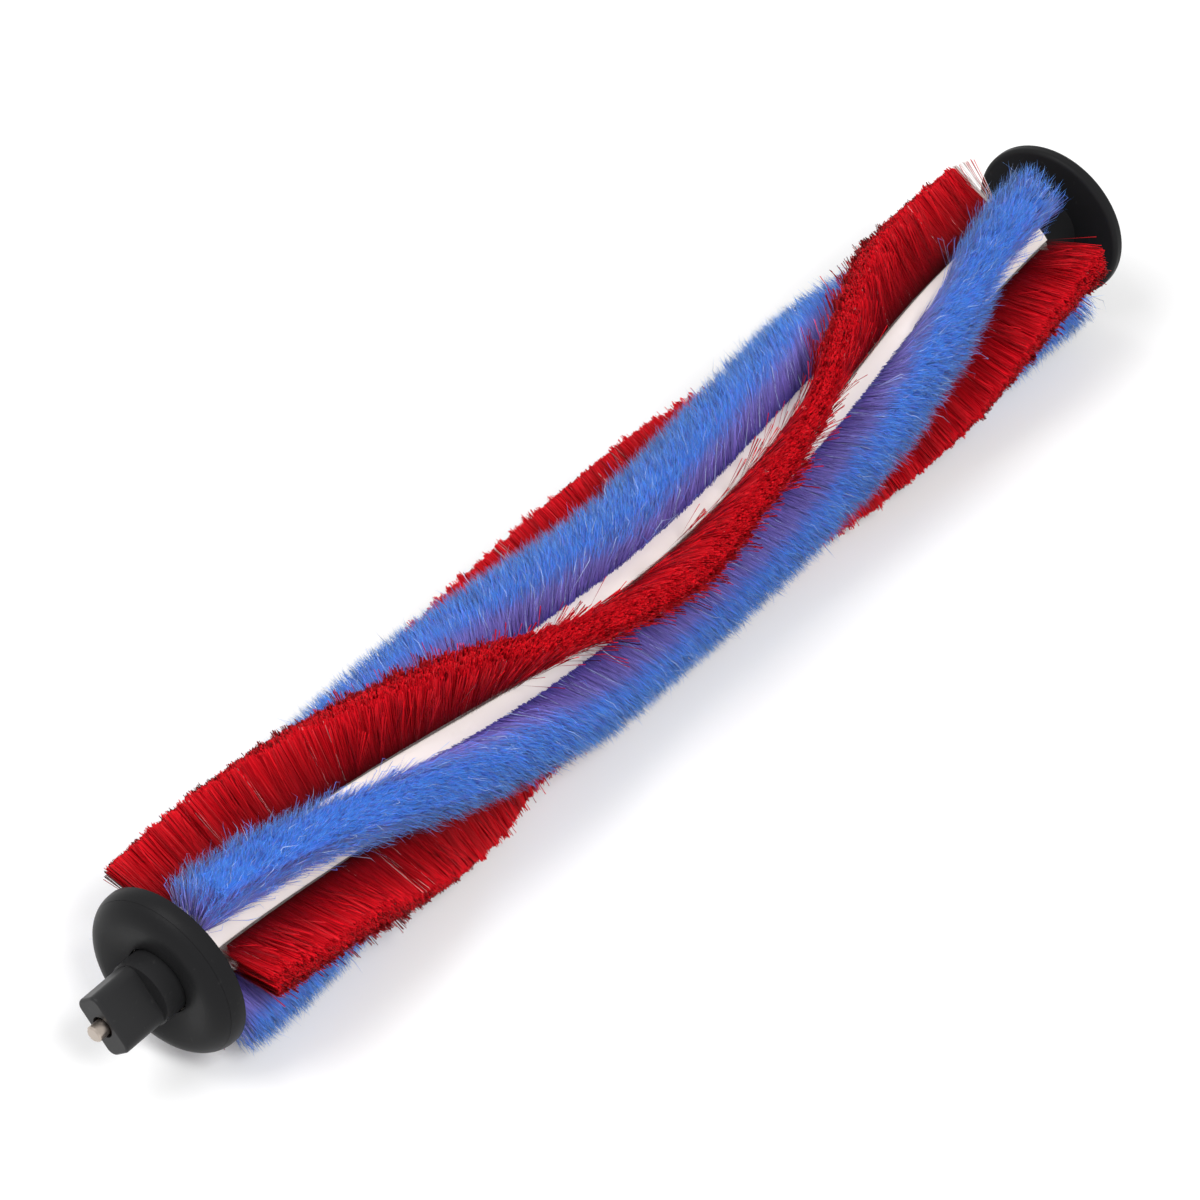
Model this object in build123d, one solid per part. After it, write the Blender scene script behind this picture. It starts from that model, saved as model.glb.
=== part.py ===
"""Vacuum roller brush: a white moulded core on a steel shaft, with three red nylon bristle strips and
three blue plush strips set in wave-shaped slots, a domed bearing end and a disc-shaped drive end.

Millimetres. X runs along the roller from the bearing end to the drive end and Z is up. The origin lies
on the surface that the roller rests on, under the middle of its length.
"""
import math
import os

from build123d import *

# Roller core
CORE_LENGTH = 234.3
CORE_RADIUS = 7.0
LAND_EDGE_ROUND = 0.3
STRIP_COUNT = 6
SHAFT_DIAMETER = 5.0
SHAFT_FIT = 0.02

# Wave of the slots: every strip swings forward to an apex near the middle and back again
FIRST_STRIP_ANGLE = -53.6
WAVE_SWING = 108.7
WAVE_RUN_OUT = 8.0
APEX_SHIFT = 2.4
STATION_COUNT = 23

# Undercut slots and the strip carriers that slide into them
SLOT_MOUTH = 3.2
SLOT_FOOT = 4.0
SLOT_LIP = 1.35
SLOT_FOOT_HEIGHT = 1.1
CARRIER_CLEARANCE = 0.06
CARRIER_RECESS = 0.35
STRIP_END_GAP = 0.3
PILE_NEAR_GAP = 3.2

# Bristles and plush, as closed solids of their outer shape
PILE_SEAT_GAP = 0.05
PILE_ROOT_INSET = 0.1
BRISTLE_RADIUS = 19.2
BRISTLE_TIP_WIDTH = 6.0
PLUSH_RADIUS = 19.2
PLUSH_TIP_WIDTH = 10.5
PLUSH_SHOULDER = 2.5
REST_FLAT = 0.7

# Bearing end: flange, domed cover, thrust washers, boss and bush
FLANGE_RADIUS = 15.4
FLANGE_PLATE = 1.2
EDGE_ROUND = 4.3
DOME_HEIGHT = 4.9
DOME_WALL = 1.0
DOME_DISH = 1.0
PARTING_HEIGHT = 2.8
PARTING_STEP = 0.06
RUNNING_GAP = 0.3
FACE_GAP = 0.05
WASHER_THICKNESS = 0.4
WASHER_RADIUS = 7.6
BOSS_FLANGE_RADIUS = 8.2
COLLAR_RADIUS = 5.9
COLLAR_STANDOFF = 2.95
KEY_WIDTH = 10.8
KEY_THICKNESS = 5.8
KEY_CORNER = 1.6
KEY_LENGTH = 8.85
KEY_ANGLE = 48.0
KEY_EDGE_ROUND = 0.5
BUSH_RADIUS = 2.4
BUSH_FIT = 0.02
BOSS_NOSE = 1.4
BOSS_NOSE_GAP = 0.5
JOURNAL_DIAMETER = 3.0
JOURNAL_CLEARANCE = 0.03
JOURNAL_CHAMFER = 0.3
PIN_PROUD = 2.2

# Hexagonal spigots that key both flanges into the core
SPIGOT_FLATS = 6.6
SPIGOT_LENGTH = 8.0
SPIGOT_FIT = 0.04

# Drive end: hub and disc in one moulding, with a hexagonal drive socket
HUB_RADIUS = 6.3
HUB_LENGTH = 8.3
DISC_RADIUS = 15.5
DISC_THICKNESS = 2.6
DISC_EDGE_ROUND = 0.9
SOCKET_FLATS = 8.0
SOCKET_DEPTH = 7.5
SHAFT_REACH = 2.0

# Places along the roller, worked out from the sizes above
TOTAL_LENGTH = (
    PIN_PROUD + KEY_LENGTH + COLLAR_STANDOFF + DOME_HEIGHT + CORE_LENGTH + HUB_LENGTH + DISC_THICKNESS
)
X_PIN_TIP = -TOTAL_LENGTH / 2
X_KEY_END = X_PIN_TIP + PIN_PROUD
X_COLLAR_END = X_KEY_END + KEY_LENGTH
X_CREST = X_COLLAR_END + COLLAR_STANDOFF
X_BACK = X_CREST + DOME_HEIGHT
X_CORE_END = X_BACK + CORE_LENGTH
X_DISC = X_CORE_END + HUB_LENGTH
X_OUTER = X_DISC + DISC_THICKNESS

X_PLATE = X_BACK - FLANGE_PLATE
X_LIP = X_CREST + DOME_DISH + DOME_WALL
X_INNER_WASHER = X_PLATE - FACE_GAP
X_BOSS_BACK = X_INNER_WASHER - WASHER_THICKNESS - FACE_GAP
X_OUTER_WASHER = X_LIP + FACE_GAP
X_BOSS_FLANGE = X_OUTER_WASHER + WASHER_THICKNESS + FACE_GAP
X_JOURNAL = X_BOSS_BACK + FACE_GAP

# Radii of the slots, carriers and piles
R_FOOT_TOP = CORE_RADIUS - SLOT_LIP
R_FOOT_BOTTOM = R_FOOT_TOP - SLOT_FOOT_HEIGHT
R_CARRIER_TOP = CORE_RADIUS - CARRIER_RECESS
R_PILE_ROOT = R_CARRIER_TOP + PILE_SEAT_GAP
STRIP_PITCH = 360 / STRIP_COUNT
AXIS_HEIGHT = max(BRISTLE_RADIUS, PLUSH_RADIUS) - REST_FLAT


def wave_angle(x):
    """Angle about the roller's axis of the first strip at x, from straight up, turning towards -Y."""
    apex = (X_BACK + X_CORE_END) / 2 + APEX_SHIFT
    half_wave = CORE_LENGTH / 2 + WAVE_RUN_OUT
    return FIRST_STRIP_ANGLE + WAVE_SWING * (1 + math.cos(math.pi * (x - apex) / half_wave)) / 2


def station_plane(x, turn):
    """Section plane at x whose local Y points out along the strip that is turned on by an angle."""
    angle = math.radians(wave_angle(x) + turn)
    across = (0, math.cos(angle), math.sin(angle))
    return Plane(origin=(x, 0, 0), x_dir=across, z_dir=(1, 0, 0))


def wave_loft(outline, turn, x_start, x_end):
    """Solid whose section is the face that outline() gives, carried along the wave."""
    step = (x_end - x_start) / (STATION_COUNT - 1)
    section = outline()
    places = [x_start + index * step for index in range(STATION_COUNT)]
    return loft([station_plane(x, turn) * section for x in places])


def rod(radius, x_start, x_end):
    """Round bar on the roller's axis."""
    section = Plane(origin=(x_start, 0, 0), x_dir=(0, 1, 0), z_dir=(1, 0, 0)) * Circle(radius)
    return extrude(section, x_end - x_start)


def hex_bar(flats, x_start, x_end):
    """Hexagonal bar on the roller's axis, given across its flats."""
    hexagon = RegularPolygon(flats / 2, 6, major_radius=False)
    section = Plane(origin=(x_start, 0, 0), x_dir=(0, 1, 0), z_dir=(1, 0, 0)) * hexagon
    return extrude(section, x_end - x_start)


def turned(*edges):
    """Solid of revolution about X of the closed outline that the edges make in the XZ plane."""
    return revolve(Plane.XZ * make_face(edges), Axis.X)


def core_section():
    """Core's outline: rounded lands between undercut slots."""
    half_mouth = SLOT_MOUTH / 2
    half_foot = SLOT_FOOT / 2
    shoulder = CORE_RADIUS - LAND_EDGE_ROUND
    land_start = math.degrees(math.asin((half_mouth + LAND_EDGE_ROUND) / CORE_RADIUS))
    edges = []
    for index in range(STRIP_COUNT):
        turn = -index * STRIP_PITCH

        def place(across, out):
            return Vector(across, out).rotate(Axis.Z, turn)

        def rim(angle):
            return Vector(0, CORE_RADIUS).rotate(Axis.Z, turn - angle)

        wall_top = math.sqrt(shoulder ** 2 - half_mouth ** 2)
        points = [
            place(-half_mouth, wall_top),
            place(-half_mouth, R_FOOT_TOP),
            place(-half_foot, R_FOOT_TOP),
            place(-half_foot, R_FOOT_BOTTOM),
            place(half_foot, R_FOOT_BOTTOM),
            place(half_foot, R_FOOT_TOP),
            place(half_mouth, R_FOOT_TOP),
            place(half_mouth, wall_top),
        ]
        edges.extend(Polyline(*points).edges())
        land_end = STRIP_PITCH - land_start
        far_mouth = Vector(-half_mouth, wall_top).rotate(Axis.Z, turn - STRIP_PITCH)
        edges.append(TangentArc(points[-1], rim(land_start), tangent=points[-1] - points[-2]))
        edges.append(ThreePointArc(rim(land_start), rim(STRIP_PITCH / 2), rim(land_end)))
        start_tangent = far_mouth - Vector(-half_mouth, R_FOOT_TOP).rotate(Axis.Z, turn - STRIP_PITCH)
        edges.append(TangentArc(far_mouth, rim(land_end), tangent=start_tangent))
    return make_face(edges)


def carrier_section():
    """Carrier's T: a foot in the slot and a neck in its mouth."""
    half_foot = SLOT_FOOT / 2 - CARRIER_CLEARANCE
    half_neck = SLOT_MOUTH / 2 - CARRIER_CLEARANCE
    foot_bottom = R_FOOT_BOTTOM + CARRIER_CLEARANCE
    foot_top = R_FOOT_TOP - CARRIER_CLEARANCE
    points = [
        (-half_foot, foot_bottom),
        (half_foot, foot_bottom),
        (half_foot, foot_top),
        (half_neck, foot_top),
        (half_neck, R_CARRIER_TOP),
        (-half_neck, R_CARRIER_TOP),
        (-half_neck, foot_top),
        (-half_foot, foot_top),
    ]
    return make_face(Polyline(*points, close=True))


def bristle_section():
    """Red bristles: a slim fan with a trimmed round top."""
    half_root = SLOT_MOUTH / 2 - CARRIER_CLEARANCE - PILE_ROOT_INSET
    half_tip = BRISTLE_TIP_WIDTH / 2
    tip_height = math.sqrt(BRISTLE_RADIUS ** 2 - half_tip ** 2)
    sides = Polyline(
        (-half_tip, tip_height),
        (-half_root, R_PILE_ROOT),
        (half_root, R_PILE_ROOT),
        (half_tip, tip_height),
    )
    top = ThreePointArc((half_tip, tip_height), (0, BRISTLE_RADIUS), (-half_tip, tip_height))
    return make_face([*sides.edges(), top])


def plush_section():
    """Blue plush: a broad fan with rounded shoulders."""
    half_root = SLOT_MOUTH / 2 - CARRIER_CLEARANCE - PILE_ROOT_INSET
    half_tip = PLUSH_TIP_WIDTH / 2
    crown = half_tip - PLUSH_SHOULDER
    crown_height = math.sqrt(PLUSH_RADIUS ** 2 - crown ** 2)
    shoulder_height = crown_height - PLUSH_SHOULDER
    sides = Polyline(
        (-half_tip, shoulder_height),
        (-half_root, R_PILE_ROOT),
        (half_root, R_PILE_ROOT),
        (half_tip, shoulder_height),
    )
    right = TangentArc((half_tip, shoulder_height), (crown, crown_height), tangent=(0, 1))
    top = ThreePointArc((crown, crown_height), (0, PLUSH_RADIUS), (-crown, crown_height))
    left = TangentArc((-half_tip, shoulder_height), (-crown, crown_height), tangent=(0, 1))
    return make_face([*sides.edges(), right, top, left])


def roller_core():
    """Moulded core with its shaft bore and a hexagonal pocket at each end."""
    core = wave_loft(core_section, 0, X_BACK, X_CORE_END)
    core -= rod(SHAFT_DIAMETER / 2 + SHAFT_FIT, X_BACK, X_CORE_END)
    pocket_flats = SPIGOT_FLATS + 2 * SPIGOT_FIT
    core -= hex_bar(pocket_flats, X_BACK, X_BACK + SPIGOT_LENGTH + SPIGOT_FIT)
    core -= hex_bar(pocket_flats, X_CORE_END - SPIGOT_LENGTH - SPIGOT_FIT, X_CORE_END)
    return core


def steel_shaft():
    """Shaft through the core, turned down to the journal whose end shows at the boss."""
    body = rod(SHAFT_DIAMETER / 2, X_JOURNAL, X_CORE_END + SHAFT_REACH)
    journal = rod(JOURNAL_DIAMETER / 2, X_PIN_TIP, X_JOURNAL)
    tip_edge = journal.edges().filter_by(GeomType.CIRCLE).sort_by(Axis.X)[0]
    return body + chamfer(tip_edge, JOURNAL_CHAMFER)


def strip_carrier(turn):
    """Extruded carrier of one strip."""
    return wave_loft(carrier_section, turn, X_BACK + STRIP_END_GAP, X_CORE_END - STRIP_END_GAP)


def strip_pile(outline, turn):
    """Bristles or plush of one strip, clear of the bearing flange, with a flat where the roller rests."""
    pile = wave_loft(outline, turn, X_BACK + PILE_NEAR_GAP, X_CORE_END - STRIP_END_GAP)
    depth = 2 * max(BRISTLE_RADIUS, PLUSH_RADIUS)
    below = Pos(0, 0, -AXIS_HEIGHT - depth / 2) * Box(2 * TOTAL_LENGTH, 2 * depth, depth)
    return pile - below


def cap_envelope():
    """Outer form of the bearing end, from the flange's back to the dished crown."""
    crest = FLANGE_RADIUS - EDGE_ROUND
    opening = COLLAR_RADIUS + RUNNING_GAP
    x_round = X_CREST + EDGE_ROUND
    x_dish = X_CREST + DOME_DISH
    diagonal = EDGE_ROUND * math.sqrt(0.5)
    middle = (x_round - diagonal, crest + diagonal)
    return turned(
        Line((x_dish, 0), (X_BACK, 0)),
        Line((X_BACK, 0), (X_BACK, FLANGE_RADIUS)),
        Line((X_BACK, FLANGE_RADIUS), (x_round, FLANGE_RADIUS)),
        ThreePointArc((x_round, FLANGE_RADIUS), middle, (X_CREST, crest)),
        TangentArc((X_CREST, crest), (x_dish, opening), tangent=(0, -1)),
        Line((x_dish, opening), (x_dish, 0)),
    )


def cap_cavity():
    """Space inside the bearing end, between the flange's plate and the domed cover."""
    crest = FLANGE_RADIUS - EDGE_ROUND
    x_round = X_CREST + EDGE_ROUND
    inner_round = EDGE_ROUND - DOME_WALL
    wall = crest + math.sqrt(inner_round ** 2 - (x_round - X_PLATE) ** 2)
    diagonal = inner_round * math.sqrt(0.5)
    middle = (x_round - diagonal, crest + diagonal)
    x_inner_crest = X_CREST + DOME_WALL
    return turned(
        Line((X_LIP, 0), (X_PLATE, 0)),
        Line((X_PLATE, 0), (X_PLATE, wall)),
        ThreePointArc((X_PLATE, wall), middle, (x_inner_crest, crest)),
        Line((x_inner_crest, crest), (X_LIP, COLLAR_RADIUS)),
        Line((X_LIP, COLLAR_RADIUS), (X_LIP, 0)),
    )


def bearing_flange():
    """Flange behind the domed cover, keyed into the core by its hexagonal spigot."""
    shell = cap_envelope() - cap_cavity()
    flange = shell & rod(2 * FLANGE_RADIUS, X_BACK - PARTING_HEIGHT, X_BACK)
    flange += hex_bar(SPIGOT_FLATS, X_BACK, X_BACK + SPIGOT_LENGTH)
    return flange - rod(SHAFT_DIAMETER / 2 + SHAFT_FIT, X_PLATE, X_BACK + SPIGOT_LENGTH)


def dome_cover():
    """Domed cover that traps the boss, a hair smaller than the flange at the parting line."""
    shell = cap_envelope() - cap_cavity()
    x_parting = X_BACK - PARTING_HEIGHT
    cover = shell & rod(2 * FLANGE_RADIUS, X_CREST, x_parting)
    cover -= rod(COLLAR_RADIUS + RUNNING_GAP, X_CREST, x_parting)
    outer_edge = cover.edges().filter_by(GeomType.CIRCLE).group_by(Axis.X)[-1].sort_by(SortBy.RADIUS)[-1]
    return chamfer(outer_edge, PARTING_STEP)


def washer(inner_radius, x_start):
    """Flat thrust washer."""
    ring = rod(WASHER_RADIUS, x_start, x_start + WASHER_THICKNESS)
    return ring - rod(inner_radius, x_start, x_start + WASHER_THICKNESS)


def bearing_boss():
    """Boss that stays still in the machine: inner flange, round collar and flat key."""
    boss = rod(BOSS_FLANGE_RADIUS, X_BOSS_FLANGE, X_BOSS_BACK)
    boss += rod(COLLAR_RADIUS, X_COLLAR_END, X_BOSS_FLANGE)
    angle = math.radians(KEY_ANGLE)
    across = (0, math.cos(angle), math.sin(angle))
    key_plane = Plane(origin=(X_KEY_END, 0, 0), x_dir=across, z_dir=(1, 0, 0))
    key = extrude(key_plane * RectangleRounded(KEY_WIDTH, KEY_THICKNESS, KEY_CORNER), KEY_LENGTH)
    key = fillet(key.faces().sort_by(Axis.X)[0].edges(), KEY_EDGE_ROUND)
    boss += key
    boss -= rod(BUSH_RADIUS + BUSH_FIT, X_KEY_END + BOSS_NOSE, X_BOSS_BACK)
    return boss - rod(JOURNAL_DIAMETER / 2 + BOSS_NOSE_GAP, X_KEY_END, X_BOSS_BACK)


def bronze_bush():
    """Plain bush in the boss, on the shaft's journal."""
    bush = rod(BUSH_RADIUS, X_KEY_END + BOSS_NOSE, X_BOSS_BACK)
    return bush - rod(JOURNAL_DIAMETER / 2 + JOURNAL_CLEARANCE, X_KEY_END + BOSS_NOSE, X_BOSS_BACK)


def drive_flange():
    """Drive end: spigot, hub and disc in one moulding, with the drive socket in its outer face."""
    disc = rod(DISC_RADIUS, X_DISC, X_OUTER)
    rims = disc.edges().filter_by(GeomType.CIRCLE)
    flange = fillet(rims, DISC_EDGE_ROUND) + rod(HUB_RADIUS, X_CORE_END, X_DISC)
    flange += hex_bar(SPIGOT_FLATS, X_CORE_END - SPIGOT_LENGTH, X_CORE_END)
    x_bore_end = X_CORE_END + SHAFT_REACH + SHAFT_FIT
    flange -= rod(SHAFT_DIAMETER / 2 + SHAFT_FIT, X_CORE_END - SPIGOT_LENGTH, x_bore_end)
    return flange - hex_bar(SOCKET_FLATS, X_OUTER - SOCKET_DEPTH, X_OUTER)


def all_pieces():
    """Every piece by its node's name, with the roller's axis on X."""
    pieces = {
        "roller_core": roller_core(),
        "steel_shaft": steel_shaft(),
        "bearing_flange": bearing_flange(),
        "dome_cover": dome_cover(),
        "inner_thrust_washer": washer(SHAFT_DIAMETER / 2 + RUNNING_GAP, X_INNER_WASHER - WASHER_THICKNESS),
        "outer_thrust_washer": washer(COLLAR_RADIUS + RUNNING_GAP, X_OUTER_WASHER),
        "bearing_boss": bearing_boss(),
        "bronze_bush": bronze_bush(),
        "drive_flange": drive_flange(),
    }
    for index in range(STRIP_COUNT):
        turn = index * STRIP_PITCH
        pair = index // 2 + 1
        if index % 2 == 0:
            pieces[f"red_carrier_{pair}"] = strip_carrier(turn)
            pieces[f"red_bristles_{pair}"] = strip_pile(bristle_section, turn)
        else:
            pieces[f"plush_carrier_{pair}"] = strip_carrier(turn)
            pieces[f"blue_plush_{pair}"] = strip_pile(plush_section, turn)
    return pieces


os.makedirs("parts", exist_ok=True)
for node, piece in all_pieces().items():
    export_step(Pos(0, 0, AXIS_HEIGHT) * piece, f"parts/{node}.step")
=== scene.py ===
"""Looks of a vacuum roller brush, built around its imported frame.

Six piles of real fibres, three of red bristle and three of blue plush, replace the plain pile solids.
The core, the caps, the boss and the shaft keep their solids and get moulded, turned and sintered finishes.
"""
import math

import bmesh
import bpy
import numpy as np
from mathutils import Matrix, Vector


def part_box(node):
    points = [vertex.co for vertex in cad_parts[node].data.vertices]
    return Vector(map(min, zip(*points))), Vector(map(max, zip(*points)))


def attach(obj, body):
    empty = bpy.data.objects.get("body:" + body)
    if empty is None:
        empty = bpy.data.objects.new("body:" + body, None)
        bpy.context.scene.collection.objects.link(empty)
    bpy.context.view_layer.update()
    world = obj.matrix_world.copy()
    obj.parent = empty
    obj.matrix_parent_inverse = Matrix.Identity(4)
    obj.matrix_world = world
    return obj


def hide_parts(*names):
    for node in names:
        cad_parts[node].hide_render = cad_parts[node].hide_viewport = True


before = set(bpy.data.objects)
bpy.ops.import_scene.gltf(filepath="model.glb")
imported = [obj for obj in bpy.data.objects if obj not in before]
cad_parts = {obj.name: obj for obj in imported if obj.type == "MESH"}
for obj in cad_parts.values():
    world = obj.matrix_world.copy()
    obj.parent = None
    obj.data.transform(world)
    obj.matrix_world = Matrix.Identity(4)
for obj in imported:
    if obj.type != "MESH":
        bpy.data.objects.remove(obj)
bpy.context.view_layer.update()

MM = 0.001

# Places on the roller, read from the frame
core_low, core_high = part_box("roller_core")
disc_low, disc_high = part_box("drive_flange")
AXIS_Z = (disc_low.z + disc_high.z) / 2
X_BACK = core_low.x
X_CORE_END = core_high.x
CORE_RADIUS = (core_high.z - core_low.z) / 2

# The wave that the strips follow, as the solids have it
STRIP_PITCH = 60.0
FIRST_STRIP_ANGLE = -53.6
WAVE_SWING = 108.7
WAVE_RUN_OUT = 8.0 * MM
APEX_SHIFT = 2.4 * MM
WAVE_APEX = (X_BACK + X_CORE_END) / 2 + APEX_SHIFT
HALF_WAVE = (X_CORE_END - X_BACK) / 2 + WAVE_RUN_OUT

# Pile sizes
ROOT_RADIUS = CORE_RADIUS - 0.4 * MM
PILE_RADIUS = 19.2 * MM
ROOT_HALF = 1.9 * MM
FAR_START = 0.3 * MM
FLARE_RUN = 12 * MM
FLOOR_CLEAR = 0.15 * MM

# Each strip's sideways lean in degrees, at these distances from its two ends
LEAN_STATIONS = (0.0, 60 * MM, 117 * MM)
PILE_LEANS = (
    (12.0, 5.0, 0.0), (-2.5, -5.5, 0.0), (-6.0, -8.0, 0.0),
    (0.0, 0.0, 0.0), (0.0, 0.0, 0.0), (0.0, 2.0, 4.0))

# How many fibres each strip has
CROWN_BRISTLES = 23000
WALL_BRISTLES = 15000
CROWN_BUNDLES = 9400
WALL_BUNDLES = 8000
BUNDLE_HAIRS = 2
STRAY_HAIRS = 600

# Where a loose hair bends, how its shading scatters, and the shades of dyed fibres and of pale ones, which
# are undyed ends or painted glints
HAIR_BEND = 0.84
NORMAL_SCATTER = 0.7
DYED_MOST = 0.94
PALE_FROM = 0.97
UNDYED_OR_GLINT = 1.0

# The photograph's camera, placed from the middle of the core's near end
IMAGE_PIXELS = 1200
FOCAL_PIXELS = 5285
SENSOR_MM = 36.0
CAMERA_AZIMUTH = -51.45
CAMERA_ELEVATION = 42.67
CAMERA_OFFSET = Vector((-411.61, -415.07, 614.86)) * MM

# Studio light, in metres and watts
ROOM_LEVEL = 0.48
LIGHT_AIM = (0, 0, 0.02)
KEY_PLACE, KEY_SIZE, KEY_WATTS = (-0.46, 0.26, 0.95), 0.6, 6.0
FRONT_PLACE, FRONT_SIZE, FRONT_WATTS = (-0.5, -1.2, 1.6), 0.65, 26.0


def linear(hex_colour):
    """A written sRGB colour as linear RGBA."""
    channels = [int(hex_colour[i:i + 2], 16) / 255 for i in (1, 3, 5)]
    return [c / 12.92 if c <= 0.04045 else ((c + 0.055) / 1.055) ** 2.4 for c in channels] + [1.0]


def per_metre(size_mm):
    """Texture scale of a pattern whose grain is that many millimetres across."""
    return 1 / (size_mm * MM)


def add(tree, kind, inputs=None, stops=None, **settings):
    """Adds a node with its settings.

    Its inputs take values or other nodes' outputs, and a ramp takes its colour stops.
    """
    node = tree.nodes.new(kind)
    for name, value in settings.items():
        setattr(node, name, value)
    for name, value in (inputs or {}).items():
        if isinstance(value, bpy.types.NodeSocket):
            tree.links.new(value, node.inputs[name])
        else:
            node.inputs[name].default_value = value
    for number, (place, colour) in enumerate(stops or []):
        ramp = node.color_ramp.elements
        stop = ramp[number] if number < 2 else ramp.new(place)
        stop.position = place
        stop.color = linear(colour)
    return node


def new_material(name):
    """An empty node material and its Principled shader, wired to the output."""
    material = bpy.data.materials.new(name)
    material.use_nodes = True
    tree = material.node_tree
    tree.nodes.clear()
    shader = add(tree, "ShaderNodeBsdfPrincipled")
    add(tree, "ShaderNodeOutputMaterial", {"Surface": shader.outputs["BSDF"]})
    return material, tree, shader


def fibre_material(name, stops, dark, light, pale, roughness, gloss, sheen, sheen_colour):
    """Dyed nylon fibre: each strand has a shade of its own, and painted shade darkens it from its tip down to
    its crowded root.

    The strands with the very highest shades take the pale colour: the undyed ends of the red strips, and
    painted glints among the fibres.
    """
    material, tree, shader = new_material(name)
    along = add(tree, "ShaderNodeAttribute", attribute_name="along")
    shade = add(tree, "ShaderNodeAttribute", attribute_name="shade")
    # Colour along the fibre: painted shade darkens it towards the root, and it is lightest at the tip
    ramp = add(tree, "ShaderNodeValToRGB", {"Fac": along.outputs["Fac"]}, stops=stops)
    value = add(tree, "ShaderNodeMapRange", {
        "Value": shade.outputs["Fac"], "To Min": dark, "To Max": light})
    tint = add(tree, "ShaderNodeHueSaturation", {
        "Color": ramp.outputs["Color"], "Value": value.outputs["Result"]})
    # Strands above the pale mark take the pale colour: undyed ends, or painted glints of light
    undyed_or_glint = add(tree, "ShaderNodeMath", {
        0: shade.outputs["Fac"], 1: PALE_FROM}, operation="GREATER_THAN")
    base = add(tree, "ShaderNodeMix", {
        "Factor": undyed_or_glint.outputs[0], "A": tint.outputs["Color"], "B": linear(pale)}, data_type="RGBA")
    tree.links.new(base.outputs["Result"], shader.inputs["Base Color"])
    shader.inputs["Roughness"].default_value = roughness
    shader.inputs["Specular IOR Level"].default_value = gloss
    shader.inputs["Sheen Weight"].default_value = sheen
    shader.inputs["Sheen Tint"].default_value = linear(sheen_colour)
    return material


def red_bristle_nylon():
    """Stiff extruded nylon, trimmed square: deep crimson with hard little glints from its gloss; painted
    shade darkens it towards the roots, and a few pale strands are painted glints.
    """
    # Colours from root to tip: painted shade in the crowded depth, lightening to the trimmed tips
    stops = [(0.0, "#3A0206"), (0.3, "#980712"), (0.7, "#BC0815"), (1.0, "#DA0F1E")]
    return fibre_material(
        "red_nylon_bristle", stops, dark=0.68, light=1.24, pale="#E4D4D0",
        roughness=0.42, gloss=0.14, sheen=0.0, sheen_colour="#FFFFFF")


def blue_plush_nylon():
    """Fine crimped nylon plush, blue: violet low down from painted shade and painted red light bounced off
    the neighbouring strips, and clear light blue at the loose tips as painted light; a few pale hairs are
    painted glints.
    """
    # Colours from root to tip: painted shade and painted reflected red in the depth, painted light towards
    # the tips
    stops = [(0.0, "#463A9A"), (0.3, "#7E68CC"), (0.7, "#9088EA"), (0.88, "#3E86FC"), (1.0, "#74BAFF")]
    return fibre_material(
        "blue_nylon_plush", stops, dark=0.62, light=1.14, pale="#BCD0FA",
        roughness=0.5, gloss=0.3, sheen=0.55, sheen_colour="#9CC0FF")


def moulded_plastic(name, colour, worn, roughness, gloss, grain_mm, grain_depth_mm, speck_mm):
    """Moulded plastic: an even colour with faint flow marks, a fine eroded grain and a few rubbed specks."""
    flow_mm = 7.0
    material, tree, shader = new_material(name)
    place = add(tree, "ShaderNodeTexCoord").outputs["Object"]
    flow = add(tree, "ShaderNodeTexNoise", {"Vector": place, "Scale": per_metre(flow_mm), "Detail": 3.0})
    speck = add(tree, "ShaderNodeTexNoise", {"Vector": place, "Scale": per_metre(speck_mm), "Detail": 4.0})
    rubbed = add(tree, "ShaderNodeMapRange", {
        "Value": speck.outputs["Fac"], "From Min": 0.66, "From Max": 0.78, "To Max": 0.55})
    base = add(tree, "ShaderNodeMix", {
        "Factor": rubbed.outputs["Result"], "A": linear(colour), "B": linear(worn)}, data_type="RGBA")
    tree.links.new(base.outputs["Result"], shader.inputs["Base Color"])
    rough = add(tree, "ShaderNodeMapRange", {
        "Value": flow.outputs["Fac"], "To Min": roughness - 0.06, "To Max": roughness + 0.08})
    tree.links.new(rough.outputs["Result"], shader.inputs["Roughness"])
    grain = add(tree, "ShaderNodeTexNoise", {"Vector": place, "Scale": per_metre(grain_mm), "Detail": 2.0})
    bump = add(tree, "ShaderNodeBump", {
        "Height": grain.outputs["Fac"], "Strength": 0.5, "Distance": grain_depth_mm * MM})
    tree.links.new(bump.outputs["Normal"], shader.inputs["Normal"])
    shader.inputs["Specular IOR Level"].default_value = gloss
    return material


def turned_metal(name, colour, roughness, ring_mm):
    """Turned metal: bright, with fine rings from the tool round its axis."""
    patina_mm, ring_depth_mm, waves_per_scale = 1.2, 0.01, 20
    material, tree, shader = new_material(name)
    place = add(tree, "ShaderNodeTexCoord").outputs["Object"]
    rings = add(tree, "ShaderNodeTexWave", {
        "Vector": place, "Scale": per_metre(ring_mm) / waves_per_scale, "Distortion": 1.5, "Detail": 2.0},
        bands_direction="X")
    patina = add(tree, "ShaderNodeTexNoise", {"Vector": place, "Scale": per_metre(patina_mm), "Detail": 4.0})
    rough = add(tree, "ShaderNodeMapRange", {
        "Value": patina.outputs["Fac"], "To Min": roughness - 0.08, "To Max": roughness + 0.12})
    bump = add(tree, "ShaderNodeBump", {
        "Height": rings.outputs["Fac"], "Strength": 0.3, "Distance": ring_depth_mm * MM})
    shader.inputs["Base Color"].default_value = linear(colour)
    shader.inputs["Metallic"].default_value = 1.0
    tree.links.new(rough.outputs["Result"], shader.inputs["Roughness"])
    tree.links.new(bump.outputs["Normal"], shader.inputs["Normal"])
    return material


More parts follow.
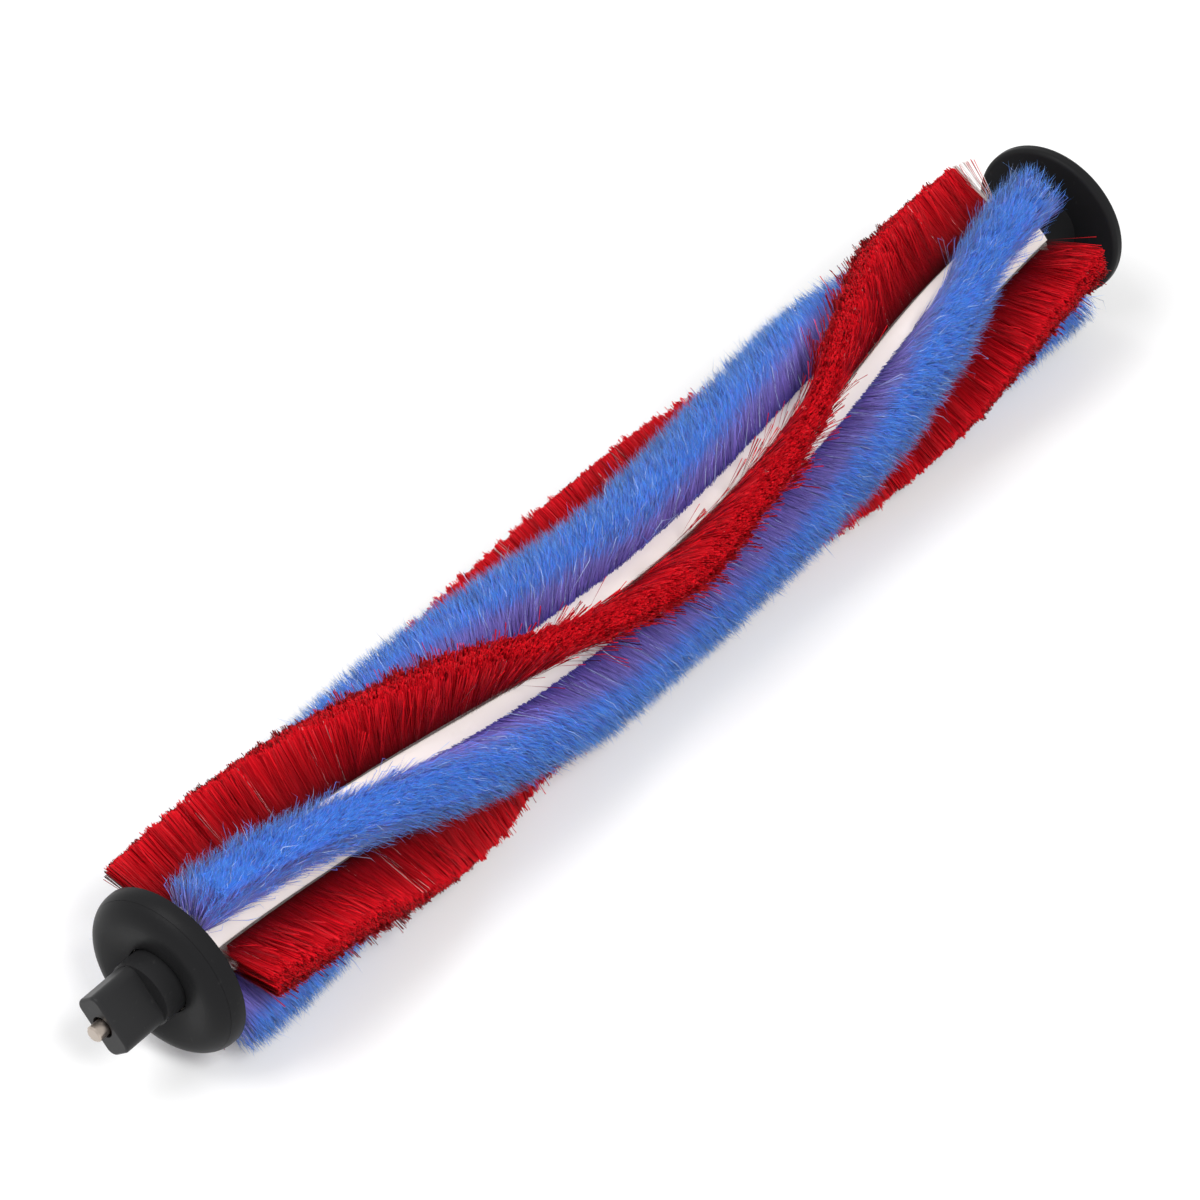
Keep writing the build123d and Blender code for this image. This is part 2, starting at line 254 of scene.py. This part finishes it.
def wave_angle(x):
    """Angle of the first strip at x, from straight up towards -Y, in degrees."""
    return FIRST_STRIP_ANGLE + WAVE_SWING * (1 + np.cos(np.pi * (x - WAVE_APEX) / HALF_WAVE)) / 2


def strip_angle(strip, x):
    """Angle of any strip at x, in radians."""
    return np.radians(wave_angle(x) + STRIP_PITCH * strip)


def strip_place(strip, x, along, height, side):
    """Points of a strip's section at x: moved along the roller, out from its axis and across the strip."""
    angle = strip_angle(strip, x)
    y = -np.sin(angle) * height + np.cos(angle) * side
    z = np.cos(angle) * height + np.sin(angle) * side + AXIS_Z
    return np.stack([x + along, y, z], axis=-1)


def smooth_step(t):
    """0 to 1 with soft ends."""
    t = np.clip(t, 0, 1)
    return t * t * (3 - 2 * t)


def wander(rng, x, reach, wave_mm):
    """A slow random sway along the roller."""
    total = np.zeros_like(x)
    for share in (1.0, 0.6, 0.35):
        turns = 2 * np.pi * x / (wave_mm * MM * share)
        total += share * np.sin(turns + rng.uniform(0, 2 * np.pi))
    return reach * total / 2


def pile_lean(strip, x):
    """Sideways lean of a strip's pile in degrees, drawn through its leans at the stations."""
    middle = (X_BACK + X_CORE_END) / 2
    from_end = (X_CORE_END - X_BACK) / 2 - np.abs(x - middle)
    return np.interp(from_end, LEAN_STATIONS, PILE_LEANS[strip])


def end_flare(x, near, far):
    """Tangent of the pile's lean out along the roller near its two ends, from the leans there in degrees."""
    near_share = np.clip(1 - (x - X_BACK) / FLARE_RUN, 0, 1)
    far_share = np.clip(1 - (X_CORE_END - x) / FLARE_RUN, 0, 1)
    return far_share * math.tan(math.radians(far)) - near_share * math.tan(math.radians(near))


def blunt_bristle():
    """A three-sided bristle one unit long: a point at the root and a trimmed flat at the tip."""
    bm = bmesh.new()
    bmesh.ops.create_cone(bm, cap_ends=True, cap_tris=False, segments=3, radius1=0, radius2=1, depth=1)
    return bm


def pointed_hair():
    """A three-sided hair one unit long, running out to a fine point; its open root stays inside the pile."""
    bm = bmesh.new()
    bmesh.ops.create_cone(bm, segments=3, radius1=1, radius2=0, depth=1)
    return bm


def curled_hair():
    """A three-sided hair one unit long, pointed at both ends and thickest where its loose tip bends away."""
    bm = bmesh.new()
    lower = bmesh.ops.create_cone(bm, segments=3, radius1=0, radius2=1, depth=HAIR_BEND)["verts"]
    bmesh.ops.translate(bm, verts=lower, vec=(0, 0, HAIR_BEND / 2 - 0.5))
    upper = bmesh.ops.create_cone(bm, segments=3, radius1=1, radius2=0, depth=1 - HAIR_BEND)["verts"]
    bmesh.ops.translate(bm, verts=upper, vec=(0, 0, HAIR_BEND / 2))
    return bm


class Fibre:
    """One fibre's mesh as arrays, to be copied thousands of times: its rings, their offsets and its faces."""

    def __init__(self, bm):
        bmesh.ops.remove_doubles(bm, verts=bm.verts, dist=1e-5)
        bmesh.ops.recalc_face_normals(bm, faces=bm.faces)
        bm.verts.index_update()
        heights = sorted({round(v.co.z, 4) for v in bm.verts})
        self.ring = np.array([heights.index(round(v.co.z, 4)) for v in bm.verts])
        self.along = np.array([v.co.z + 0.5 for v in bm.verts])
        self.offset = np.array([v.co.xy for v in bm.verts])
        self.faces = np.array([[v.index for v in face.verts] for face in bm.faces])
        bm.free()

    def copies(self, points, widths, shade, facing, rng):
        """Copies along their own points: arrays of places, faces, along, shade and shading normals.

        A pile scatters light like one soft surface, so its fibres take the normals of that surface.
        """
        heading = points[:, -1] - points[:, 0]
        heading /= np.linalg.norm(heading, axis=1, keepdims=True)
        aside = np.cross(heading, rng.normal(size=heading.shape))
        aside /= np.linalg.norm(aside, axis=1, keepdims=True)
        beside = np.cross(heading, aside)
        count, corners = len(points), len(self.ring)
        places = points[:, self.ring].copy()
        thick = widths[:, None, None]
        places += thick * self.offset[None, :, :1] * aside[:, None]
        places += thick * self.offset[None, :, 1:] * beside[:, None]
        faces = (self.faces[None] + corners * np.arange(count)[:, None, None]).reshape(-1, 3)
        normals = heading + facing + NORMAL_SCATTER * rng.normal(size=heading.shape)
        normals /= np.linalg.norm(normals, axis=1, keepdims=True)
        return (places.reshape(-1, 3), faces, np.tile(self.along, count), np.repeat(shade, corners),
                np.repeat(normals, corners, axis=0))


def cell_traits(rng, x, spacing, lane, lanes):
    """Cuts each lane of a strip into cells along the roller.

    Gives each fibre's distance from its cell's middle, and three random traits that its whole cell shares.
    """
    cells = int((X_CORE_END - X_BACK) / spacing) + 3
    shift = rng.uniform(0, spacing, lanes)[lane]
    cell = ((x - X_BACK + shift) / spacing).astype(int)
    number = lane * cells + cell
    middle = X_BACK - shift + (cell + 0.5) * spacing
    traits = rng.normal(size=(3, lanes * cells))
    return x - middle, traits[:, number]


def split_gaps(rng, x, count, half_gap, run):
    """Where the pile has parted: how far tips move away from each split, and which fibres stand at one."""
    edge = 0.02 * MM
    moved = np.zeros_like(x)
    beside = np.zeros_like(x, dtype=bool)
    for place in rng.uniform(X_BACK, X_CORE_END, count):
        gap = half_gap * rng.uniform(0.3, 1.0)
        moved += np.sign(x - place) * gap * np.exp(-np.abs(x - place) / run)
        beside |= np.abs(x - place) < edge
    return moved, beside


def wall_facing(strip, x, across):
    """Outward pull on the shading normals of the fibres near a pile's two walls."""
    pull, wall_from = 2.2, 0.4
    angle = strip_angle(strip, x)
    out = np.stack([np.zeros_like(x), np.cos(angle), np.sin(angle)], axis=-1)
    share = pull * smooth_step((np.abs(across) - wall_from) / (1 - wall_from))
    return out * (np.sign(across) * share)[:, None]


def red_bristles(strip, count, on_wall):
    """A red strip's bristles: straight and stiff, trimmed nearly flat, in tufts that stray over the edges.

    The walls are one close row with a spiky top edge; the crown between them carries the loose tufts.
    """
    rng = np.random.default_rng(10 * strip + on_wall)
    layout = np.random.default_rng(500 + strip)
    near_start, near_flare, far_flare = 4.4 * MM, 4.0, 3.0
    near_pale, far_pale = (0.12 * MM, 0.8 * MM) if strip == 0 else (0, 0)
    tip_half, shoulder, lanes = 2.0 * MM, 0.3 * MM, 4
    tuft_width, streak_width, spike, kick_most = 0.65 * MM, 0.3 * MM, 0.65 * MM, 0.13
    splits, split_gap, split_run, slit_glint_width = 30, 0.3 * MM, 1.0 * MM, 0.028
    ragged_run, ragged_reach = 1.5 * MM, 0.35 * MM
    stray_share, shade_spread = (0.004, 0.1) if on_wall else (0.06, 0.24)
    x = rng.uniform(X_BACK + near_start, X_CORE_END - FAR_START, count)
    if on_wall:
        across = rng.choice([-1, 1], count) * rng.uniform(0.82, 1.04, count)
    else:
        across = np.clip(rng.normal(0, 0.58, count), -1.1, 1.1)
    lane = np.clip(((across + 1) / 2 * lanes).astype(int), 0, lanes - 1)
    off_middle, tuft = cell_traits(layout, x, tuft_width, lane, lanes)
    _, streak = cell_traits(layout, x, streak_width, lane, lanes)
    loose = 0.12 if on_wall else smooth_step((np.abs(across) - 0.35) / 0.5)
    kick = np.sign(across) * loose * np.clip(tuft[1], -0.4, 3) * kick_most * rng.uniform(0.2, 1.0, count)
    lean = np.radians(pile_lean(strip, x)) + kick + wander(layout, x, 0.05, 60)
    fan = across * tip_half / PILE_RADIUS + rng.normal(0, 0.018, count)
    stray = rng.random(count) < stray_share
    fan += stray * rng.normal(0, 0.12, count)
    peak = 1 - 2 * np.abs(off_middle) / tuft_width
    radius = PILE_RADIUS - shoulder * np.abs(across) ** 2 + 0.1 * MM * tuft[0]
    radius += rng.normal(0, 0.14 * MM, count)
    radius += spike * np.where(on_wall, 1, loose) * np.clip(tuft[0], 0, 1.6) * peak
    side = radius * np.sin(fan + lean)
    height = radius * np.cos(fan + lean)
    parted, beside = split_gaps(layout, x, splits, split_gap, split_run)
    sway = parted - 0.5 * np.abs(tuft[2]) * off_middle * loose + rng.normal(0, 0.16 * MM, count)
    sway += end_flare(x, near_flare, far_flare) * (height - ROOT_RADIUS)
    from_near, from_far = x - X_BACK - near_start, X_CORE_END - FAR_START - x
    end_pale = (on_wall & (across > 0) & (from_near < near_pale)) | (from_far < far_pale)
    ragged = np.exp(-np.minimum(from_near, from_far) / ragged_run)
    ragged *= np.where((from_near < near_pale) | (from_far < 3 * far_pale), 0.1, 1)
    sway += ragged * rng.normal(0, ragged_reach, count)
    root = strip_place(strip, x, 0, ROOT_RADIUS, across * ROOT_HALF)
    tip = strip_place(strip, x, sway, height, side)
    shade = 0.5 + shade_spread * rng.normal(size=count) + 0.05 * streak[0] + 0.04 * tuft[2]
    # Wall fibres standing right at a split are pale and thin: a painted glint of light through the split
    slit_glint = beside & on_wall
    shade = np.where(end_pale | slit_glint, UNDYED_OR_GLINT, np.clip(shade, 0, DYED_MOST))
    widths = np.where(slit_glint, slit_glint_width, rng.uniform(0.06, 0.095, count)) * MM
    return np.stack([root, tip], axis=1), widths, shade, wall_facing(strip, x, across)


def blue_hairs(strip, kind, bundles, per_bundle):
    """A blue strip's plush: bundles of fine hairs that fan outwards and round over the top.

    Kind 0 are the hairs with loose bent tips, 1 the pointed ones of the walls and 2 a few long curled strays.
    """
    rng = np.random.default_rng(10 * strip + kind)
    layout = np.random.default_rng(500 + strip)
    near_start, near_flare, far_flare = 3.2 * MM, 7.0, 8.0
    tip_half, shoulder, lanes, tuft_width = 5.8 * MM, 2.4 * MM, 5, 2.0 * MM
    on_wall, stray = kind == 1, kind == 2
    # A share of the hairs is pale: painted glints, far more of them among the long strays
    wild, loose, glint_share = (3, 0.9 * MM, 0.3) if stray else (1, 0.5 * MM, 0.02)
    finest, widest = (0.045, 0.075) if on_wall else (0.035, 0.06)
    x = rng.uniform(X_BACK + near_start, X_CORE_END - FAR_START, bundles)
    across = rng.uniform(-1.05, 1.05, bundles)
    if on_wall:
        across = np.sign(across) * rng.uniform(0.75, 1.08, bundles)
    lane = np.clip(((across + 1) / 2 * lanes).astype(int), 0, lanes - 1)
    off_middle, tuft = cell_traits(layout, x, tuft_width, lane, lanes)
    radius = PILE_RADIUS - shoulder * np.abs(across) ** 3 + 0.15 * MM * tuft[0]
    radius += rng.normal(0, 0.3 * MM, bundles)
    lean = np.radians(pile_lean(strip, x)) + 0.015 * tuft[1] + wander(layout, x, 0.06, 80)
    fan = across * tip_half / PILE_RADIUS + rng.normal(0, 0.03, bundles)
    sway = -0.15 * np.abs(tuft[2]) * off_middle + rng.normal(0, 0.25 * MM, bundles)
    bundle_shade = 0.5 + 0.09 * rng.normal(size=bundles) + 0.03 * tuft[2]

    x, across, radius, lean, fan, sway, bundle_shade = (
        np.repeat(trait, per_bundle) for trait in (x, across, radius, lean, fan, sway, bundle_shade))
    count = len(x)
    x = np.clip(x + rng.normal(0, 0.25 * MM, count), X_BACK + near_start, X_CORE_END - FAR_START)
    across = across + rng.normal(0, 0.08, count)
    radius = radius + rng.normal(0, 0.25 * MM, count) + stray * rng.uniform(0, 1.4 * MM, count)
    fan = fan + rng.normal(0, 0.04, count) * wild
    sway = sway + rng.normal(0, 0.45 * MM, count) * wild
    side = radius * np.sin(fan + lean)
    height = radius * np.cos(fan + lean)
    sway = sway + end_flare(x, near_flare, far_flare) * (height - ROOT_RADIUS)
    root_side = across * ROOT_HALF
    root = strip_place(strip, x, 0, ROOT_RADIUS, root_side)
    tip = strip_place(strip, x, sway, height, side)
    points = [root, tip]
    if not on_wall:
        rise = ROOT_RADIUS + HAIR_BEND * (height - ROOT_RADIUS)
        out = root_side + HAIR_BEND * (side - root_side) + rng.normal(0, loose, count)
        points.insert(1, strip_place(strip, x, HAIR_BEND * sway + rng.normal(0, loose, count), rise, out))
    shade = np.clip(bundle_shade + 0.24 * rng.normal(size=count), 0, DYED_MOST)
    shade = np.where(rng.random(count) < glint_share, UNDYED_OR_GLINT, shade)
    widths = rng.uniform(finest, widest, count) * MM
    return np.stack(points, axis=1), widths, shade, wall_facing(strip, x, across)


def packed_depth(strip, root_half, top_half, top_radius, shade):
    """The crowded inside of a pile, under the fibres that show, drawn station by station along the wave; its
    low shade and dark lower colour are painted shade where it shows between the fibres.
    """
    stations, near_inset, far_inset, corner, flat_share = 118, 6.5 * MM, 2.5 * MM, 0.8 * MM, 0.6
    places = np.linspace(X_BACK + near_inset, X_CORE_END - far_inset, stations)
    section = [(-root_half, ROOT_RADIUS), (root_half, ROOT_RADIUS),
               (top_half, top_radius - corner), (top_half * flat_share, top_radius),
               (-top_half * flat_share, top_radius), (-top_half, top_radius - corner)]
    bm = bmesh.new()
    rim = [bm.verts.new((places[0], side, height)) for side, height in section]
    first = bm.faces.new(rim)
    edges = list(first.edges)
    for before, after in zip(places, places[1:]):
        grown = bmesh.ops.extrude_edge_only(bm, edges=edges)["geom"]
        moved = [part for part in grown if isinstance(part, bmesh.types.BMVert)]
        edges = [part for part in grown if isinstance(part, bmesh.types.BMEdge)]
        bmesh.ops.translate(bm, verts=moved, vec=(after - before, 0, 0))
    bmesh.ops.contextual_create(bm, geom=edges)
    bmesh.ops.recalc_face_normals(bm, faces=bm.faces)
    bmesh.ops.triangulate(bm, faces=bm.faces)
    bm.verts.index_update()
    flat = np.array([v.co for v in bm.verts])
    faces = np.array([[v.index for v in face.verts] for face in bm.faces])
    bm.free()
    rise = (flat[:, 2] - ROOT_RADIUS) / (PILE_RADIUS - ROOT_RADIUS)
    lean = np.radians(pile_lean(strip, flat[:, 0])) * rise
    side = flat[:, 1] + flat[:, 2] * np.sin(lean)
    # Colour darkest at the root: painted shade of the crowded depth
    along = 0.9 * (flat[:, 2] - ROOT_RADIUS) / (top_radius - ROOT_RADIUS)
    places = strip_place(strip, flat[:, 0], 0, flat[:, 2] * np.cos(lean), side)
    normals = places - np.stack([places[:, 0], 0 * flat[:, 0], 0 * flat[:, 0] + AXIS_Z], axis=-1)
    normals /= np.linalg.norm(normals, axis=1, keepdims=True)
    return places, faces, along, np.full(len(places), shade), normals


def bake_map(shade, along, faces):
    """Each corner's place on a bake's map: its shade across, and its place along the fibre upwards."""
    narrow, margin = 0.004, 0.02
    span = 1 - 2 * margin
    u = margin + span * shade[faces] + np.array([[-narrow, 0, narrow]])
    v = margin + span * along[faces]
    level = np.ptp(v, axis=1) < narrow
    v[level, 1] -= 2 * narrow
    return np.stack([u, v], axis=-1).reshape(-1, 2)


def make_pile(name, node, material, parts):
    """One strip's pile as one piece.

    Operators can't place tens of thousands of copies in time, so arrays do.
    """
    counts = np.cumsum([0] + [len(part[0]) for part in parts])
    places = np.concatenate([part[0] for part in parts])
    faces = np.concatenate([part[1] + before for part, before in zip(parts, counts)])
    along = np.concatenate([part[2] for part in parts]).astype(np.float32)
    shade = np.concatenate([part[3] for part in parts]).astype(np.float32)
    places[:, 2] = np.maximum(places[:, 2], FLOOR_CLEAR)
    mesh = bpy.data.meshes.new(name)
    mesh.from_pydata(places, [], faces)
    mesh.attributes.new("along", "FLOAT", "POINT").data.foreach_set("value", along)
    mesh.attributes.new("shade", "FLOAT", "POINT").data.foreach_set("value", shade)
    corners = bake_map(shade, along, faces).astype(np.float32)
    mesh.uv_layers.new(name="OFBake").uv.foreach_set("vector", corners.ravel())
    mesh.shade_smooth()
    mesh.normals_split_custom_set_from_vertices(np.concatenate([part[4] for part in parts]))
    mesh.materials.append(material)
    pile = bpy.data.objects.new(name, mesh)
    bpy.context.scene.collection.objects.link(pile)
    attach(pile, "roller")
    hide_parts(node)


def make_piles():
    """The six strips in turn, red and blue."""
    red, blue = red_bristle_nylon(), blue_plush_nylon()
    bristle, hair, curl = Fibre(blunt_bristle()), Fibre(pointed_hair()), Fibre(curled_hair())
    for number in range(3):
        strip = 2 * number
        rng = np.random.default_rng(100 + strip)
        parts = [
            bristle.copies(*red_bristles(strip, CROWN_BRISTLES, False), rng),
            bristle.copies(*red_bristles(strip, WALL_BRISTLES, True), rng),
            # The packed depth takes a low shade: painted shade between the bristles
            packed_depth(strip, 1.2 * MM, 1.3 * MM, PILE_RADIUS - 1.5 * MM, 0.25),
        ]
        make_pile(f"red_bristle_pile_{number + 1}", f"red_bristles_{number + 1}", red, parts)
        strip = 2 * number + 1
        parts = [
            curl.copies(*blue_hairs(strip, 0, CROWN_BUNDLES, BUNDLE_HAIRS), rng),
            hair.copies(*blue_hairs(strip, 1, WALL_BUNDLES, BUNDLE_HAIRS), rng),
            curl.copies(*blue_hairs(strip, 2, STRAY_HAIRS, 1), rng),
            # The packed depth takes the lowest shade: painted shade between the hairs
            packed_depth(strip, 1.2 * MM, 3.2 * MM, PILE_RADIUS - 3.0 * MM, 0.0),
        ]
        make_pile(f"blue_plush_pile_{number + 1}", f"blue_plush_{number + 1}", blue, parts)


def dress(material, *nodes):
    """Gives the solids of these nodes one finish."""
    for node in nodes:
        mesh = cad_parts[node].data
        mesh.materials.clear()
        mesh.materials.append(material)


def dress_solids():
    """Finishes of the pieces that keep their solids."""
    dress(moulded_plastic("white_moulded_abs", "#F8EFE8", "#EEE4DC", 0.36, 0.4, 0.9, 0.006, 5.0),
          "roller_core")
    dress(moulded_plastic("black_moulded_nylon", "#1C1C1D", "#303030", 0.4, 0.07, 0.35, 0.012, 1.4),
          "bearing_flange", "dome_cover", "drive_flange")
    dress(moulded_plastic("black_moulded_acetal", "#202021", "#3A3A39", 0.38, 0.22, 0.3, 0.01, 1.2),
          "bearing_boss")
    dress(moulded_plastic("natural_nylon_washer", "#DAD4C4", "#C8C0AE", 0.45, 0.4, 0.4, 0.005, 2.0),
          "inner_thrust_washer", "outer_thrust_washer")
    carriers = [f"{kind}_carrier_{n}" for kind in ("red", "plush") for n in (1, 2, 3)]
    dress(moulded_plastic("grey_extruded_pvc", "#8A8884", "#9C9A96", 0.5, 0.3, 0.5, 0.006, 2.0), *carriers)
    dress(turned_metal("turned_steel", "#AFA49A", 0.3, 0.25), "steel_shaft")
    dress(turned_metal("sintered_bronze", "#A87848", 0.42, 0.3), "bronze_bush")


def seen_rays(tree):
    """1 for rays from the camera, also by way of a mirror or glass, and 0 for those that carry light."""
    rays = add(tree, "ShaderNodeLightPath")
    seen = rays.outputs["Is Camera Ray"]
    for kind in ("Is Glossy Ray", "Is Transmission Ray"):
        seen = add(tree, "ShaderNodeMath", {0: seen, 1: rays.outputs[kind]}, operation="MAXIMUM").outputs[0]
    return seen


def white_floor():
    """A plain white floor. Camera rays get a little light added, so that the sheet reads as white paper."""
    size, lift = 6.0, 0.16
    bm = bmesh.new()
    bmesh.ops.create_grid(bm, x_segments=1, y_segments=1, size=size / 2)
    mesh = bpy.data.meshes.new("floor")
    bm.to_mesh(mesh)
    bm.free()
    material, tree, shader = new_material("white_paper_sweep")
    shader.inputs["Base Color"].default_value = linear("#E8E8E8")
    shader.inputs["Roughness"].default_value = 0.9
    shader.inputs["Specular IOR Level"].default_value = 0.1
    seen = seen_rays(tree)
    lit = add(tree, "ShaderNodeMath", {0: seen, 1: lift}, operation="MULTIPLY")
    tree.links.new(lit.outputs[0], shader.inputs["Emission Strength"])
    shader.inputs["Emission Color"].default_value = (1, 1, 1, 1)
    mesh.materials.append(material)
    floor = bpy.data.objects.new("floor", mesh)
    bpy.context.scene.collection.objects.link(floor)


def soft_world(level):
    """Even room light, and plain white where the camera or a reflection sees past the floor."""
    world = bpy.data.worlds.new("studio")
    bpy.context.scene.world = world
    world.use_nodes = True
    tree = world.node_tree
    tree.nodes.clear()
    seen = seen_rays(tree)
    strength = add(tree, "ShaderNodeMapRange", {"Value": seen, "To Min": level, "To Max": 1.0})
    sky = add(tree, "ShaderNodeBackground", {"Color": (1, 1, 1, 1), "Strength": strength.outputs["Result"]})
    add(tree, "ShaderNodeOutputWorld", {"Surface": sky.outputs["Background"]})


def soft_box(name, place, size, watts, mirrored):
    """A square soft light, which shiny surfaces can be kept from mirroring."""
    light = bpy.data.lights.new(name, "AREA")
    light.shape = "SQUARE"
    light.size = size
    light.energy = watts
    lamp = bpy.data.objects.new(name, light)
    lamp.location = place
    lamp.visible_glossy = mirrored
    lamp.rotation_mode = "QUATERNION"
    lamp.rotation_quaternion = (Vector(LIGHT_AIM) - Vector(place)).to_track_quat("-Z", "Y")
    bpy.context.scene.collection.objects.link(lamp)


def photo_camera():
    """The camera at the photograph's place and angle."""
    data = bpy.data.cameras.new("photo_camera")
    data.sensor_width = SENSOR_MM
    data.lens = FOCAL_PIXELS / IMAGE_PIXELS * SENSOR_MM
    data.clip_start = 0.05
    data.clip_end = 50
    turn, rise = math.radians(CAMERA_AZIMUTH), math.radians(CAMERA_ELEVATION)
    back = Vector((math.sin(turn) * math.cos(rise), -math.cos(turn) * math.cos(rise), math.sin(rise)))
    camera = bpy.data.objects.new("photo_camera", data)
    camera.location = Vector((X_BACK, 0, AXIS_Z)) + CAMERA_OFFSET
    camera.rotation_mode = "QUATERNION"
    camera.rotation_quaternion = (-back).to_track_quat("-Z", "Y")
    bpy.context.scene.collection.objects.link(camera)
    bpy.context.scene.camera = camera


make_piles()
dress_solids()
white_floor()
soft_world(ROOM_LEVEL)
soft_box("key", KEY_PLACE, KEY_SIZE, KEY_WATTS, True)
soft_box("front", FRONT_PLACE, FRONT_SIZE, FRONT_WATTS, False)
photo_camera()
bpy.context.scene.view_settings.view_transform = "Standard"
